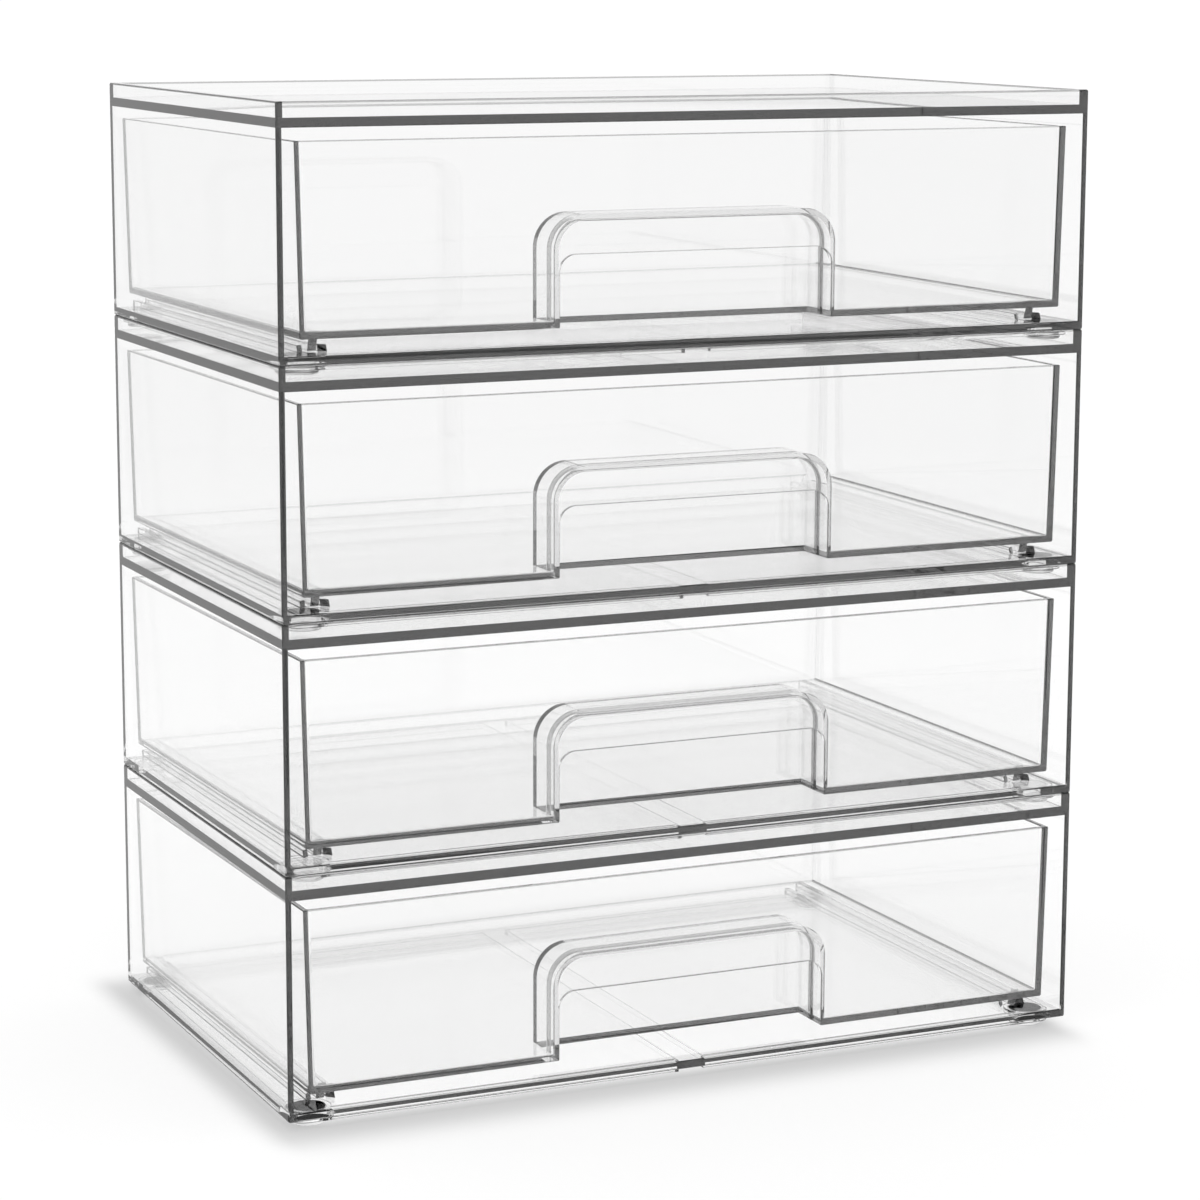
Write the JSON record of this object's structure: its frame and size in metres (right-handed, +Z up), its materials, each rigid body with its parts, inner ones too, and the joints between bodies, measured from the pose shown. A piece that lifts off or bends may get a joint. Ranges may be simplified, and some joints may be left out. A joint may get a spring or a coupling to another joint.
{
  "type": "stackable drawer organizer",
  "caption": "Stack of clear open-fronted casings, each with one sliding drawer pulled by an arched finger grip, nested rim to base on round feet.",
  "frame": {"origin": "middle of the stack's footprint, at the level that the lowest feet stand on", "axes": "+Z up through the stack, drawers open towards -Y, +X to the right of someone facing the drawer fronts"},
  "size_m": [0.3, 0.184, 0.3386],
  "materials": {
    "casing_plastic": "crystal clear, polished",
    "drawer_plastic": "crystal clear, polished",
    "foot_silicone": "translucent, satin"
  },
  "bodies": {
    "casing_1": {"casing_1": "casing_plastic", "foot_1_front_left": "foot_silicone", "foot_1_front_right": "foot_silicone", "foot_1_back_left": "foot_silicone", "foot_1_back_right": "foot_silicone"},
    "drawer_1": {"drawer_1": "drawer_plastic"},
    "casing_2": {"casing_2": "casing_plastic", "foot_2_front_left": "foot_silicone", "foot_2_front_right": "foot_silicone", "foot_2_back_left": "foot_silicone", "foot_2_back_right": "foot_silicone"},
    "drawer_2": {"drawer_2": "drawer_plastic"},
    "casing_3": {"casing_3": "casing_plastic", "foot_3_front_left": "foot_silicone", "foot_3_front_right": "foot_silicone", "foot_3_back_left": "foot_silicone", "foot_3_back_right": "foot_silicone"},
    "drawer_3": {"drawer_3": "drawer_plastic"},
    "casing_4": {"casing_4": "casing_plastic", "foot_4_front_left": "foot_silicone", "foot_4_front_right": "foot_silicone", "foot_4_back_left": "foot_silicone", "foot_4_back_right": "foot_silicone"},
    "drawer_4": {"drawer_4": "drawer_plastic"}
  },
  "joints": [
    {"name": "drawer_1_slide", "type": "slide", "parent": "casing_1", "child": "drawer_1", "axis": [0, -1, 0], "range_m": [0, 0.14]},
    {"name": "drawer_2_slide", "type": "slide", "parent": "casing_2", "child": "drawer_2", "axis": [0, -1, 0], "range_m": [0, 0.14]},
    {"name": "casing_2_lift", "type": "slide", "parent": "casing_1", "child": "casing_2", "axis": [0, 0, 1], "range_m": [0, 0.03]},
    {"name": "drawer_3_slide", "type": "slide", "parent": "casing_3", "child": "drawer_3", "axis": [0, -1, 0], "range_m": [0, 0.14]},
    {"name": "casing_3_lift", "type": "slide", "parent": "casing_2", "child": "casing_3", "axis": [0, 0, 1], "range_m": [0, 0.03]},
    {"name": "drawer_4_slide", "type": "slide", "parent": "casing_4", "child": "drawer_4", "axis": [0, -1, 0], "range_m": [0, 0.14]},
    {"name": "casing_4_lift", "type": "slide", "parent": "casing_3", "child": "casing_4", "axis": [0, 0, 1], "range_m": [0, 0.03]}
  ]
}
